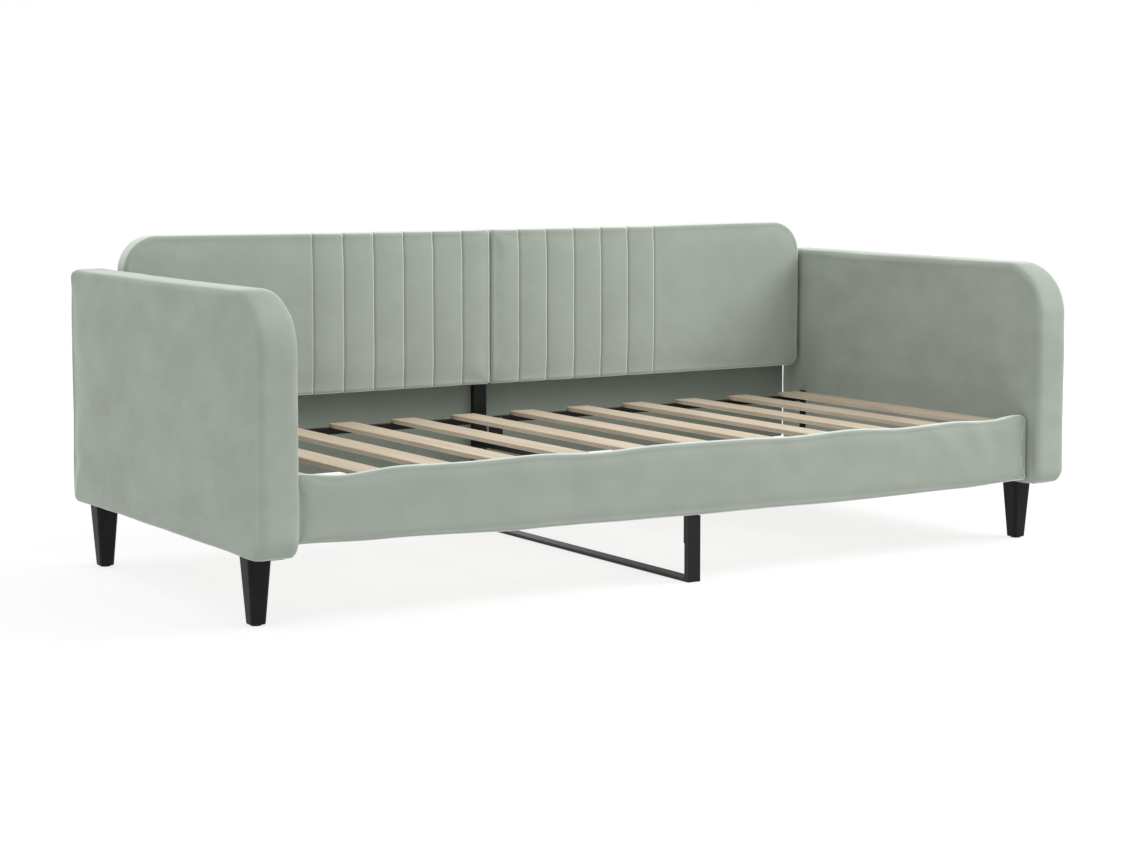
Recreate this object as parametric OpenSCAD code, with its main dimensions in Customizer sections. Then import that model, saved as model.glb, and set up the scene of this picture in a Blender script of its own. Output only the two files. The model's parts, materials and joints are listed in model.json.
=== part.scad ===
// Upholstered daybed for one single mattress.
// Two padded arms on tapered legs carry a padded front rail, a two-part channelled backrest
// and a bed base of steel ledges, a steel centre frame and twelve wooden slats.
// +X runs to the right, +Y to the back, +Z up. The origin is on the floor, under the middle.

/* [Mattress] */
// Length of the mattress
mattress_l = 2000; // [1600:10:2400]
// Width of the mattress, front to back
mattress_w = 900; // [700:10:1200]
// Free length at each end of the mattress
mattress_end_gap = 19; // [5:1:40]
// Free width behind the front rail
mattress_front_gap = 2; // [1:1:15]

/* [Arms] */
// Thickness of an arm
arm_t = 96; // [80:1:130]
// Depth of an arm, front to back
arm_d = 1065; // [1060:5:1400]
// Height of an arm without its legs
arm_h = 560; // [500:5:800]
// Radius of the large corner at the top front
arm_front_top_r = 140; // [60:5:200]
// Radius of the corner at the bottom front
arm_front_bottom_r = 40; // [30:1:80]
// Radius of the corner at the top back
arm_back_top_r = 21; // [21:1:80]
// Radius of the corner at the bottom back
arm_back_bottom_r = 28; // [25:1:80]
// Rounding along the padded edges of an arm
arm_edge_r = 20; // [15:1:20]
// Thickness of the foam on an arm
arm_foam_t = 9.5; // [8:0.5:14]
// Thickness of each plywood board of an arm
arm_board_t = 9; // [9:1:12]
// Depth of the timbers round the edge of an arm
arm_timber_w = 45; // [40:1:60]

/* [Legs] */
// Height of a leg with its glide
leg_h = 150; // [100:5:200]
// Width of a leg at the top
leg_top_w = 55; // [45:1:60]
// Width of a leg at the foot
leg_foot_w = 35; // [30:1:45]
// Distance of the front legs from the front of the arm
leg_front_in = 129; // [60:1:250]
// Distance of the rear legs from the back of the arm
leg_back_in = 91; // [60:1:250]
// Height of the glide under a leg
glide_h = 3; // [2:0.5:6]
// Radius of the bolt in a leg
leg_bolt_r = 4; // [3:0.5:5]

/* [Front rail] */
// Distance of the rail from the front of the arms
rail_in = 37; // [20:1:60]
// Thickness of the rail with its cover
rail_t = 25; // [23:1:40]
// Height of the rail
rail_h = 168; // [140:1:220]
// Height of the underside of the rail above the floor
rail_z = 154; // [150:1:170]
// Thickness of the rail's board
rail_board_t = 17; // [15:1:18]
// Gap between the rail and each arm
rail_end_gap = 1; // [1:1:5]

/* [Backrest] */
// Thickness of a back half with its cover
back_t = 60; // [50:1:80]
// Height of a back half
back_h = 406; // [300:1:600]
// Height of the underside of the backrest above the floor
back_z = 379; // [350:1:400]
// Radius of the outer corner at the top
back_top_r = 85; // [30:1:150]
// Radius of the outer corner at the bottom
back_bottom_r = 28; // [12:1:80]
// Thickness of the board in a back half
back_board_t = 15; // [12:1:18]
// Gap between the backrest and each arm
back_end_gap = 10; // [4:1:20]

/* [Rear panel] */
// Height of the rear panel
rear_h = 300; // [280:1:330]
// Height of the underside of the rear panel above the floor
rear_z = 170; // [150:1:190]
// Thickness of the rear panel's board
rear_board_t = 15; // [12:1:18]
// Gap between the rear panel and each arm
rear_end_gap = 8; // [6:1:20]

/* [Bed base] */
// Height of the tops of the ledges above the floor
ledge_z = 297; // [285:1:305]
// Depth of a ledge tube
ledge_d = 20; // [18:1:30]
// Height of a ledge tube
ledge_h = 16; // [14:1:20]
// Wall of every steel tube
tube_wall = 1.5; // [1.2:0.1:2.5]
// Width of a slat
slat_w = 70; // [50:1:90]
// Thickness of a slat
slat_t = 10; // [8:1:15]
// Free length between the arm and the nearest slat
slat_end_gap = 16; // [8:1:40]

/* [Centre frame] */
// Width of the front post and the floor bar
front_post_w = 34; // [28:1:40]
// Width of the rear post and the cross beam
rear_post_w = 38; // [34:1:50]
// Depth of both posts
post_d = 16; // [16:1:24]
// Height of the rear post
rear_post_h = 680; // [650:1:750]
// Height of the floor bar
floor_bar_h = 8; // [6:1:12]
// Height of the underside of the cross beam above the floor
beam_z = 215; // [205:1:225]
// Height of the cross beam
beam_h = 18; // [14:1:22]
// Width of a ledge prop
prop_w = 40; // [38:1:60]

/* [Fixings] */
// Thickness of every steel plate
plate_t = 3; // [2:0.5:4]
// Radius of the frame bolts
bolt_r = 3; // [2.5:0.5:4]
// Radius of the slat screws
screw_r = 2; // [1.5:0.5:2.5]
// Radius of the sleeves that pass through the padding of an arm
sleeve_r = 7; // [6.5:0.5:9]
// Gap around a bolt in a steel plate or a cover
hole_gap = 0.2; // [0.1:0.1:0.5]

/* [Hidden] */

$fn = 32;
LEFT = -1;
RIGHT = 1;
slat_count = 12;
cover_t = 1.5;          // velvet with its backing
cut = 1;                // how far a cut runs past a face
timber_play = 0.3;      // loose fit of a bolt's hole in timber
timber_lift = 0.2;      // play between the timber and the cover under it

// Places along X
inner_x = mattress_l / 2 + mattress_end_gap;
outer_x = inner_x + arm_t;
arm_soft_t = arm_foam_t + cover_t;
board_x = inner_x + arm_soft_t;
timber_x = board_x + arm_board_t;
timber_t = arm_t - 2 * (arm_soft_t + arm_board_t);
leg_x = inner_x + arm_t / 2;

// Places along Y
front_y = -arm_d / 2;
rail_y = front_y + rail_in;
rail_back_y = rail_y + rail_t;
bed_front_y = rail_back_y + mattress_front_gap;
back_y = bed_front_y + mattress_w;
back_rear_y = back_y + back_t;
rear_y = back_rear_y + post_d;
rear_t = rear_board_t + 2 * cover_t;
leg_front_y = front_y + leg_front_in;
leg_rear_y = front_y + arm_d - leg_back_in;
front_post_y = rail_back_y - post_d;

// Places along Z
slat_z = ledge_z + slat_t;
ledge_under_z = ledge_z - ledge_h;
beam_top_z = beam_z + beam_h;
timber_z = leg_h + cover_t + timber_lift;

// Boards stay this far inside their covers, so that the padding can round over them
arm_board_lift = 5;
rail_board_in = 9.5;
rail_board_low = 26;    // the rail is soft below its board, where the cover sags
back_board_in = 12;
rear_board_in = 5;
rail_edge_r = 8;
rail_top_r = 20;
rail_bottom_r = 12;
back_edge_r = 10;
back_inner_r = 12;      // corners of a half at the middle of the bed
back_centre_gap = 0.5;  // from the middle of the bed to the inner end of a half
rear_edge_r = 4;
rear_corner_r = 6;

// Ledge brackets
bracket_w = ledge_d + 4;
bracket_under_z = ledge_under_z - 78;
bracket_top_z = slat_z + 2;
bracket_bolt_z = [bracket_under_z + 19, ledge_under_z - 19];
spigot_l = 30;
spigot_play = 0.2;
flange_w = 30;
ledge_end_gap = 0.5;
ledge_centre_gap = 1;   // from the middle of the bed to the inner end of a ledge

// Back brackets
back_bracket_w = 60;
back_bracket_h = 50;
back_bracket_z = [back_z + 51, back_z + 261];
back_bracket_arm_l = 32;
back_bracket_bolt_x = inner_x - 44;
back_bracket_bolt_y = back_rear_y + 22;

// Packers between the backrest and the rear panel
packer_w = 60;
packer_h = 80;
packer_z = back_z + 6;
packer_x = [0.5 * inner_x, 0.87 * inner_x];
packer_bolt_z = packer_z + packer_h / 2;

// Bolts of the centre frame
beam_plate_z = 90;
beam_plate_top_z = ledge_under_z - 2;
post_bolt_z = [rail_z - 44, rail_z - 16];
rail_bolt_z = [beam_z - 25, beam_top_z + 22];
rear_plate_margin = 25;
rear_plate_bolt_z = [beam_z - 15, beam_top_z + 15];
back_ear_w = 40;
back_ear_h = 40;
back_bolt_x = rear_post_w / 2 + back_ear_w * 0.6;
back_bolt_z = [rear_z + rear_h + 50, rear_z + rear_h + 170];
rear_bolt_z = [rear_z + 30, rear_z + rear_h - 30];
prop_bolt_x = 12;
prop_bolt_z = ledge_z - ledge_h / 2;
head_h = 4;
head_r = 5.5;
flat_head_r = 4;
bolt_depth = 15;

slat_pitch = (2 * (inner_x - slat_end_gap) - slat_w) / (slat_count - 1);
function slat_x(i) = (i - (slat_count - 1) / 2) * slat_pitch;

// ---------- shared shapes ----------

// Builds the right-hand piece, or its mirror image on the left
module on_side(side) mirror([side == LEFT ? 1 : 0, 0, 0]) children();

module rod_x(from, to, y, z, r) translate([from, y, z]) rotate([0, 90, 0]) cylinder(r = r, h = to - from);
module rod_y(x, from, to, z, r) translate([x, from, z]) rotate([-90, 0, 0]) cylinder(r = r, h = to - from);
module rod_z(x, y, from, to, r) translate([x, y, from]) cylinder(r = r, h = to - from);

// A box between two opposite corners
module block(low, high) translate(low) cube(high - low);

// A rectangle with a radius of its own at each corner:
// low start, high start, high end, low end
module cornered(len, high, r) {
    polygon([[r[0], 0], [len - r[3], 0], [len, r[3]], [len, high - r[2]],
             [len - r[2], high], [r[1], high], [0, high - r[1]], [0, r[0]]]);
    translate([r[0], r[0]]) circle(r[0]);
    translate([r[1], high - r[1]]) circle(r[1]);
    translate([len - r[2], high - r[2]]) circle(r[2]);
    translate([len - r[3], r[3]]) circle(r[3]);
}

// A flat board: length along X, height along Z, thickness along +Y
module flat_panel(len, high, thick, r)
    translate([0, thick, 0]) rotate([90, 0, 0]) linear_extrude(thick) cornered(len, high, r);

// A disc with rounded rims, standing on Z = 0
module soft_disc(r, thick, edge)
    rotate_extrude() intersection() {
        square([r, thick]);
        union() {
            square([max(r - edge, 0.01), thick]);
            translate([0, edge]) square([r, thick - 2 * edge]);
            for (z = [edge, thick - edge]) translate([r - edge, z]) circle(edge, $fn = 20);
        }
    }

// A padded panel with rounded rims, drawn in by inset on every side
module soft_panel(len, high, thick, r, edge, inset = 0)
    hull() for (corner = [[r[0], r[0], r[0]], [r[1], high - r[1], r[1]],
                          [len - r[2], high - r[2], r[2]], [len - r[3], r[3], r[3]]])
        translate([corner[0], inset, corner[1]]) rotate([-90, 0, 0])
            soft_disc(corner[2] - inset, thick - 2 * inset, edge - inset);

// A bolt along +Z: its head below Z = 0, its shank above
module bolt(len, r = bolt_r) {
    difference() {
        translate([0, 0, -head_h]) cylinder(r = head_r, h = head_h);
        translate([0, 0, -head_h - cut]) cylinder(r = head_r / 2, h = head_h / 2 + cut, $fn = 6);
    }
    cylinder(r = r, h = len);
}

// Rectangular steel tube along X, Y or Z, open at both ends
module tube_x(low, high) difference() {
    block(low, high);
    block([low[0] - cut, low[1] + tube_wall, low[2] + tube_wall],
          [high[0] + cut, high[1] - tube_wall, high[2] - tube_wall]);
}
module tube_y(low, high) difference() {
    block(low, high);
    block([low[0] + tube_wall, low[1] - cut, low[2] + tube_wall],
          [high[0] - tube_wall, high[1] + cut, high[2] - tube_wall]);
}
module tube_z(low, high) difference() {
    block(low, high);
    block([low[0] + tube_wall, low[1] + tube_wall, low[2] - cut],
          [high[0] - tube_wall, high[1] - tube_wall, high[2] + cut]);
}

// ---------- places of the fixings on one side ----------

front_bracket_y = bed_front_y - mattress_front_gap + bracket_w / 2;
rear_bracket_y = back_y - ledge_d + bracket_w / 2;
arm_bolt_places = [
    for (y = [front_bracket_y, rear_bracket_y], z = bracket_bolt_z) [y, z],
    for (z = back_bracket_z) [back_bracket_bolt_y, z]
];
module each_arm_bolt(from, to, r)
    for (place = arm_bolt_places) rod_x(from, to, place[0], place[1], r);
arm_bolt_l = timber_x + timber_t * 0.7 - inner_x;

// Holes along Y through the rail, the back halves and the rear panel
module rail_bolt_holes(r) {
    for (z = bracket_bolt_z, side = [LEFT, RIGHT])
        rod_y(side * (inner_x - plate_t - flange_w / 2), rail_y + 5, rail_back_y + cut, z, r);
    for (z = rail_bolt_z) rod_y(0, rail_y + 5, rail_back_y + cut, z, r);
}
module back_bolt_holes(r) {
    from = back_rear_y - bolt_depth;
    to = back_rear_y + cut;
    for (z = back_bracket_z) rod_y(back_bracket_bolt_x, from, to, z, r);
    for (z = back_bolt_z) rod_y(back_bolt_x, from, to, z, r);
    for (x = packer_x) rod_y(x, from, to, packer_bolt_z, r);
}
module rear_bolt_holes(r) {
    for (z = rear_bolt_z) rod_y(0, rear_y - cut, rear_y + rear_t + cut, z, r);
    for (x = packer_x, side = [LEFT, RIGHT])
        rod_y(side * x, rear_y - cut, rear_y + rear_t + cut, packer_bolt_z, r);
}

// ---------- arms ----------

function arm_corners(inset) = [
    arm_front_bottom_r - inset, arm_front_top_r - inset,
    arm_back_top_r - inset, arm_back_bottom_r - inset
];

// The padded outside of the right arm, drawn in by inset
module arm_body(inset)
    translate([outer_x, front_y, leg_h]) rotate([0, 0, 90])
        soft_panel(arm_d, arm_h, arm_t, arm_corners(0), arm_edge_r, inset);

// A flat slice of the arm's frame: lift raises its bottom edge, in draws every edge in
module arm_slice(from, to, lift, in = 0)
    translate([to, front_y + arm_soft_t + in, timber_z + lift + in]) rotate([0, 0, 90])
        flat_panel(arm_d - 2 * arm_soft_t - 2 * in, arm_h - cover_t - timber_lift - arm_soft_t - lift - 2 * in, to - from,
                   [for (r = arm_corners(arm_soft_t)) max(r - in, 5)]);

module arm_timber(side) color("burlywood") on_side(side) difference() {
    union() {
        difference() {
            arm_slice(timber_x, timber_x + timber_t, 0);
            arm_slice(timber_x - cut, timber_x + timber_t + cut, 0, arm_timber_w);
        }
        block([timber_x, front_y + arm_soft_t + arm_timber_w - cut, mid_rail_z],
              [timber_x + timber_t, front_y + arm_d - arm_soft_t - arm_timber_w + cut, mid_rail_z + mid_rail_h]);
    }
    each_arm_bolt(timber_x - cut, inner_x + arm_bolt_l + cut, bolt_r);
    for (y = [leg_front_y, leg_rear_y]) {
        rod_z(leg_x, y, timber_z - cut, timber_z + arm_timber_w + cut, leg_bolt_r + timber_play);
        rod_z(leg_x, y, timber_z + arm_timber_w - t_nut_l, timber_z + arm_timber_w + cut, t_nut_r);
    }
}

module arm_boards(side) color("tan") on_side(side) {
    difference() {
        arm_slice(board_x, timber_x, arm_board_lift);
        each_arm_bolt(board_x - cut, timber_x + cut, bolt_r);
    }
    arm_slice(timber_x + timber_t, timber_x + timber_t + arm_board_t, arm_board_lift);
}

module arm_foam(side) color("khaki") on_side(side) difference() {
    arm_body(cover_t);
    arm_slice(board_x, timber_x + timber_t + arm_board_t, arm_board_lift);
    arm_slice(timber_x, timber_x + timber_t, 0);
    block([timber_x, front_y + arm_front_bottom_r, leg_h],
          [timber_x + timber_t, front_y + arm_d - arm_front_bottom_r, timber_z + cut]);
    each_arm_bolt(inner_x - cut, board_x + cut, sleeve_r + hole_gap);
}

// The opening under an arm that the dust cover closes
dust_in = 3;
module dust_opening(from, to, gap)
    block([timber_x + dust_in + gap, front_y + arm_front_bottom_r + gap, from],
          [timber_x + timber_t - dust_in - gap, front_y + arm_d - arm_front_bottom_r - gap, to]);

module arm_cover(side) color("#a8afa7") on_side(side) difference() {
    arm_body(0);
    arm_body(cover_t);
    dust_opening(leg_h - cut, leg_h + cover_t + cut, 0);
    each_arm_bolt(inner_x - cut, board_x + cut, sleeve_r + hole_gap);
}

module arm_dust_covers() color("#2b2b2b") for (side = [LEFT, RIGHT]) on_side(side) difference() {
    dust_opening(leg_h, leg_h + cover_t, hole_gap);
    for (y = [leg_front_y, leg_rear_y]) rod_z(leg_x, y, leg_h - cut, leg_h + cover_t + cut, leg_bolt_r + timber_play);
}

// ---------- legs ----------

leg_bore_l = 40;
leg_corner_r = 10;
leg_foot_corner_r = 8;
leg_rim = 2;
glide_r = 12;
glide_pin_r = 2.5;
glide_pin_l = 12;
t_nut_r = 5.5;
t_nut_l = 12;
t_nut_flange_r = 11;
t_nut_flange_t = 1.5;
t_nut_room = 5;         // free height above a T-nut

// The arm's middle rail takes the bracket bolts and stays clear of the T-nuts
mid_rail_z = max(bracket_bolt_z[0] - 18, timber_z + arm_timber_w + t_nut_flange_t + t_nut_room);
mid_rail_h = slat_z - mid_rail_z;

module leg(side, y) color("#1c1c1c") on_side(side) difference() {
    hull() for (a = [-1, 1], b = [-1, 1]) {
        foot = leg_foot_w / 2 - leg_foot_corner_r;
        top = leg_top_w / 2 - leg_corner_r;
        rod_z(leg_x + a * foot, y + b * foot, glide_h, glide_h + leg_rim, leg_foot_corner_r - leg_rim / 2);
        rod_z(leg_x + a * foot, y + b * foot, glide_h + leg_rim, glide_h + 2 * leg_rim, leg_foot_corner_r);
        rod_z(leg_x + a * top, y + b * top, leg_h - leg_rim, leg_h, leg_corner_r);
    }
    rod_z(leg_x, y, leg_h - leg_bore_l, leg_h + cut, leg_bolt_r);
    rod_z(leg_x, y, glide_h - cut, glide_h + glide_pin_l, glide_pin_r);
}

module each_leg() for (side = [LEFT, RIGHT], y = [leg_front_y, leg_rear_y]) on_side(side)
    translate([leg_x, y, 0]) children();

module leg_glides() color("#101010") each_leg() {
    cylinder(r = glide_r, h = glide_h);
    cylinder(r = glide_pin_r, h = glide_h + glide_pin_l);
}

module leg_bolts() color("silver") each_leg()
    translate([0, 0, leg_h - leg_bore_l]) cylinder(r = leg_bolt_r, h = leg_bore_l + timber_z - leg_h + arm_timber_w + t_nut_flange_t);

module leg_t_nuts() color("silver") each_leg() translate([0, 0, timber_z + arm_timber_w]) difference() {
    union() {
        cylinder(r = t_nut_flange_r, h = t_nut_flange_t);
        translate([0, 0, -t_nut_l]) cylinder(r = t_nut_r, h = t_nut_l + t_nut_flange_t);
    }
    translate([0, 0, -t_nut_l - cut]) cylinder(r = leg_bolt_r + 0.05, h = t_nut_l + t_nut_flange_t + 2 * cut);
}

// ---------- front rail ----------

rail_l = 2 * (inner_x - rail_end_gap);
rail_corners = [rail_bottom_r, rail_top_r, rail_top_r, rail_bottom_r];
rail_board_y = rail_back_y - cover_t - rail_board_t;

module rail_body(inset) translate([-rail_l / 2, rail_y, rail_z])
    soft_panel(rail_l, rail_h, rail_t, rail_corners, rail_edge_r, inset);

module rail_core() translate([-rail_l / 2 + rail_board_in, rail_board_y, rail_z + rail_board_low])
    flat_panel(rail_l - 2 * rail_board_in, rail_h - rail_board_in - rail_board_low, rail_board_t, [5, rail_top_r / 2, rail_top_r / 2, 5]);

module front_rail_board() color("tan") difference() {
    rail_core();
    rail_bolt_holes(bolt_r);
}
module front_rail_foam() color("khaki") difference() {
    rail_body(cover_t);
    rail_core();
}
module front_rail_cover() color("#a8afa7") difference() {
    rail_body(0);
    rail_body(cover_t);
    rail_bolt_holes(bolt_r + hole_gap);
}

// ---------- backrest ----------

back_l = inner_x - back_end_gap - back_centre_gap;
back_corners = [back_inner_r, back_inner_r, back_top_r, back_bottom_r];
back_board_y = back_rear_y - cover_t - back_board_t;

module back_body(inset) translate([back_centre_gap, back_y, back_z])
    soft_panel(back_l, back_h, back_t, back_corners, back_edge_r, inset);

module back_core() translate([back_centre_gap + back_board_in, back_board_y, back_z + back_board_in])
    flat_panel(back_l - 2 * back_board_in, back_h - 2 * back_board_in, back_board_t,
               [5, 5, back_top_r - back_board_in, max(back_bottom_r - back_board_in, 5)]);

module back_board(side) color("tan") on_side(side) difference() {
    back_core();
    back_bolt_holes(bolt_r);
}
module back_foam(side) color("khaki") on_side(side) difference() {
    back_body(cover_t);
    back_core();
}
module back_cover(side) color("#9aa49b") on_side(side) difference() {
    back_body(0);
    back_body(cover_t);
    back_bolt_holes(bolt_r + hole_gap);
}

// Wooden packers that space the rear panel off the backrest by the depth of a post
module back_packers() color("burlywood") for (x = packer_x, side = [LEFT, RIGHT]) difference() {
    block([side * x - packer_w / 2, back_rear_y, packer_z], [side * x + packer_w / 2, rear_y, packer_z + packer_h]);
    rod_y(side * x, back_rear_y - cut, rear_y + cut, packer_bolt_z, bolt_r);
}

// Angle brackets behind the backrest that hold it to the arms
module back_brackets() color("#222222") for (side = [LEFT, RIGHT], z = back_bracket_z) on_side(side) difference() {
    union() {
        block([inner_x - plate_t - back_bracket_w, back_rear_y, z - back_bracket_h / 2],
              [inner_x, back_rear_y + plate_t, z + back_bracket_h / 2]);
        block([inner_x - plate_t, back_rear_y, z - back_bracket_h / 2],
              [inner_x, back_rear_y + back_bracket_arm_l, z + back_bracket_h / 2]);
        rod_x(inner_x - plate_t, board_x, back_bracket_bolt_y, z, sleeve_r);
    }
    rod_x(inner_x - plate_t - cut, board_x + cut, back_bracket_bolt_y, z, bolt_r + hole_gap);
    rod_y(back_bracket_bolt_x, back_rear_y - cut, back_rear_y + plate_t + cut, z, bolt_r + hole_gap);
}

// ---------- rear panel ----------

rear_l = 2 * (inner_x - rear_end_gap);
rear_corners = [rear_corner_r, rear_corner_r, rear_corner_r, rear_corner_r];

module rear_body(inset) translate([-rear_l / 2, rear_y, rear_z])
    soft_panel(rear_l, rear_h, rear_t, rear_corners, rear_edge_r, inset);

module rear_panel_board() color("tan") difference() {
    translate([-rear_l / 2 + rear_board_in, rear_y + cover_t, rear_z + rear_board_in])
        flat_panel(rear_l - 2 * rear_board_in, rear_h - 2 * rear_board_in, rear_board_t, rear_corners);
    rear_bolt_holes(bolt_r);
}
module rear_panel_cover() color("#8c958d") difference() {
    rear_body(0);
    rear_body(cover_t);
    rear_bolt_holes(bolt_r + hole_gap);
}

// ---------- bed base ----------

// One ledge tube, from the middle of the bed to the right-hand bracket
module ledge(side, low_y) color("#262626") on_side(side) difference() {
    tube_x([ledge_centre_gap, low_y, ledge_under_z], [inner_x - plate_t - ledge_end_gap, low_y + ledge_d, ledge_z]);
    rod_y(prop_bolt_x, low_y - cut, low_y + ledge_d + cut, prop_bolt_z, bolt_r + hole_gap);
    for (i = [slat_count / 2 : slat_count - 1])
        rod_z(slat_x(i), low_y + ledge_d / 2, ledge_z - tube_wall - cut, ledge_z + cut, screw_r);
}
ledge_front_y = bed_front_y;
ledge_rear_y = back_y - ledge_d;

// A plate on the arm with two sleeves, and a spigot that the ledge slides onto.
// The front one also has a flange that the rail is bolted to.
module ledge_bracket(side, mid_y, ledge_y, flange) color("#1f1f1f") on_side(side) difference() {
    union() {
        block([inner_x - plate_t, mid_y - bracket_w / 2, bracket_under_z], [inner_x, mid_y + bracket_w / 2, bracket_top_z]);
        for (z = bracket_bolt_z) rod_x(inner_x - plate_t, board_x, mid_y, z, sleeve_r);
        block([inner_x - plate_t - spigot_l, ledge_y + tube_wall + spigot_play, ledge_under_z + tube_wall + spigot_play],
              [inner_x - plate_t, ledge_y + ledge_d - tube_wall - spigot_play, ledge_z - tube_wall - spigot_play]);
        if (flange)
            block([inner_x - plate_t - flange_w, mid_y - bracket_w / 2, bracket_under_z],
                  [inner_x - plate_t, mid_y - bracket_w / 2 + plate_t, ledge_under_z - 2]);
    }
    for (z = bracket_bolt_z) {
        rod_x(inner_x - plate_t - cut, board_x + cut, mid_y, z, bolt_r + hole_gap);
        if (flange)
            rod_y(inner_x - plate_t - flange_w / 2, mid_y - bracket_w / 2 - cut, mid_y - bracket_w / 2 + plate_t + cut,
                  z, bolt_r + hole_gap);
    }
}

// An angle that stands on the cross beam and holds the inner ends of two ledges
module ledge_prop(plate_y, foot_y) color("#262626") difference() {
    union() {
        block([-prop_w / 2, plate_y, beam_top_z], [prop_w / 2, plate_y + plate_t, ledge_z]);
        block([-prop_w / 2, foot_y, beam_top_z], [prop_w / 2, foot_y + ledge_d + plate_t, beam_top_z + plate_t]);
    }
    for (side = [LEFT, RIGHT]) rod_y(side * prop_bolt_x, plate_y - cut, plate_y + plate_t + cut, prop_bolt_z, bolt_r + hole_gap);
    rod_z(0, foot_y + (ledge_d + plate_t) / 2, beam_top_z - cut, beam_top_z + plate_t + cut, bolt_r + hole_gap);
}
prop_front_y = ledge_front_y + ledge_d;
prop_rear_y = ledge_rear_y - plate_t;

module slat(i) color("wheat") difference() {
    block([slat_x(i) - slat_w / 2, bed_front_y, ledge_z], [slat_x(i) + slat_w / 2, back_y, slat_z]);
    for (y = [ledge_front_y, ledge_rear_y]) translate([slat_x(i), y + ledge_d / 2, 0]) {
        translate([0, 0, ledge_z - cut]) cylinder(r = screw_r, h = slat_t + 2 * cut);
        translate([0, 0, slat_z - flat_head_r + screw_r]) cylinder(r1 = screw_r, r2 = flat_head_r, h = flat_head_r - screw_r);
    }
}

module slat_screws() color("silver") for (i = [0 : slat_count - 1], y = [ledge_front_y, ledge_rear_y])
    translate([slat_x(i), y + ledge_d / 2, 0]) {
        translate([0, 0, ledge_z - tube_wall - 4]) cylinder(r = screw_r, h = slat_t + tube_wall + 4);
        translate([0, 0, slat_z - flat_head_r + screw_r]) cylinder(r1 = screw_r, r2 = flat_head_r, h = flat_head_r - screw_r);
    }

// ---------- centre frame ----------

module centre_front_post() color("#2e2e2e") difference() {
    tube_z([-front_post_w / 2, front_post_y, 0], [front_post_w / 2, rail_back_y, rail_z]);
    for (z = post_bolt_z) rod_y(0, rail_back_y - tube_wall - cut, rail_back_y + cut, z, bolt_r + hole_gap);
}

// The rear post, with two welded ears that hold the back halves together
module centre_rear_post() color("#2e2e2e") difference() {
    union() {
        tube_z([-rear_post_w / 2, back_rear_y, 0], [rear_post_w / 2, rear_y, rear_post_h]);
        for (z = back_bolt_z)
            block([-rear_post_w / 2 - back_ear_w, back_rear_y, z - back_ear_h / 2],
                  [rear_post_w / 2 + back_ear_w, back_rear_y + plate_t, z + back_ear_h / 2]);
    }
    for (z = rear_plate_bolt_z) rod_y(0, back_rear_y - cut, back_rear_y + tube_wall + cut, z, bolt_r + hole_gap);
    for (z = back_bolt_z, side = [LEFT, RIGHT])
        rod_y(side * back_bolt_x, back_rear_y - cut, back_rear_y + plate_t + cut, z, bolt_r + hole_gap);
    for (z = rear_bolt_z) rod_y(0, rear_y - tube_wall - cut, rear_y + cut, z, bolt_r + hole_gap);
}

// Cross beam with a plate welded to each end
module centre_cross_beam() color("#2e2e2e") difference() {
    union() {
        tube_y([-rear_post_w / 2, rail_back_y + plate_t, beam_z], [rear_post_w / 2, back_rear_y - plate_t, beam_top_z]);
        block([-front_post_w / 2, rail_back_y, beam_plate_z], [front_post_w / 2, rail_back_y + plate_t, beam_plate_top_z]);
        block([-rear_post_w / 2, back_rear_y - plate_t, beam_z - rear_plate_margin],
              [rear_post_w / 2, back_rear_y, beam_top_z + rear_plate_margin]);
    }
    for (z = concat(post_bolt_z, rail_bolt_z))
        rod_y(0, rail_back_y - cut, rail_back_y + plate_t + cut, z, bolt_r + hole_gap);
    for (z = rear_plate_bolt_z) rod_y(0, back_rear_y - plate_t - cut, back_rear_y + cut, z, bolt_r + hole_gap);
    for (y = [prop_front_y, prop_rear_y - ledge_d])
        rod_z(0, prop_foot_mid(y), beam_top_z - tube_wall - cut, beam_top_z + cut, bolt_r + hole_gap);
}
function prop_foot_mid(y) = y + (ledge_d + plate_t) / 2;

module centre_floor_bar() color("#2e2e2e")
    tube_y([-front_post_w / 2, rail_back_y, 0], [front_post_w / 2, back_rear_y, floor_bar_h]);

cap_t = 2;
cap_plug_l = 12;
module rear_post_cap() color("#101010") {
    block([-rear_post_w / 2, back_rear_y, rear_post_h], [rear_post_w / 2, rear_y, rear_post_h + cap_t]);
    block([-rear_post_w / 2 + tube_wall, back_rear_y + tube_wall, rear_post_h - cap_plug_l],
          [rear_post_w / 2 - tube_wall, rear_y - tube_wall, rear_post_h]);
}

// ---------- bolts ----------

module arm_bolts() color("silver") for (side = [LEFT, RIGHT]) on_side(side)
    for (place = arm_bolt_places)
        translate([inner_x - plate_t, place[0], place[1]]) rotate([0, 90, 0]) bolt(arm_bolt_l);

// Bolts that run forwards into the rail, the back halves and the rear panel
module forward_bolt(x, head_y, z, len) translate([x, head_y, z]) rotate([90, 0, 0]) bolt(len);

module panel_bolts() color("silver") for (side = [LEFT, RIGHT]) on_side(side) {
    for (z = bracket_bolt_z)
        forward_bolt(inner_x - plate_t - flange_w / 2, rail_back_y + plate_t, z, plate_t + bolt_depth);
    for (z = back_bracket_z)
        forward_bolt(back_bracket_bolt_x, back_rear_y + plate_t, z, plate_t + bolt_depth);
    for (z = back_bolt_z) forward_bolt(back_bolt_x, back_rear_y + plate_t, z, plate_t + bolt_depth);
    for (x = packer_x) forward_bolt(x, rear_y + rear_t, packer_bolt_z, rear_t + post_d + bolt_depth);
}

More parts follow.
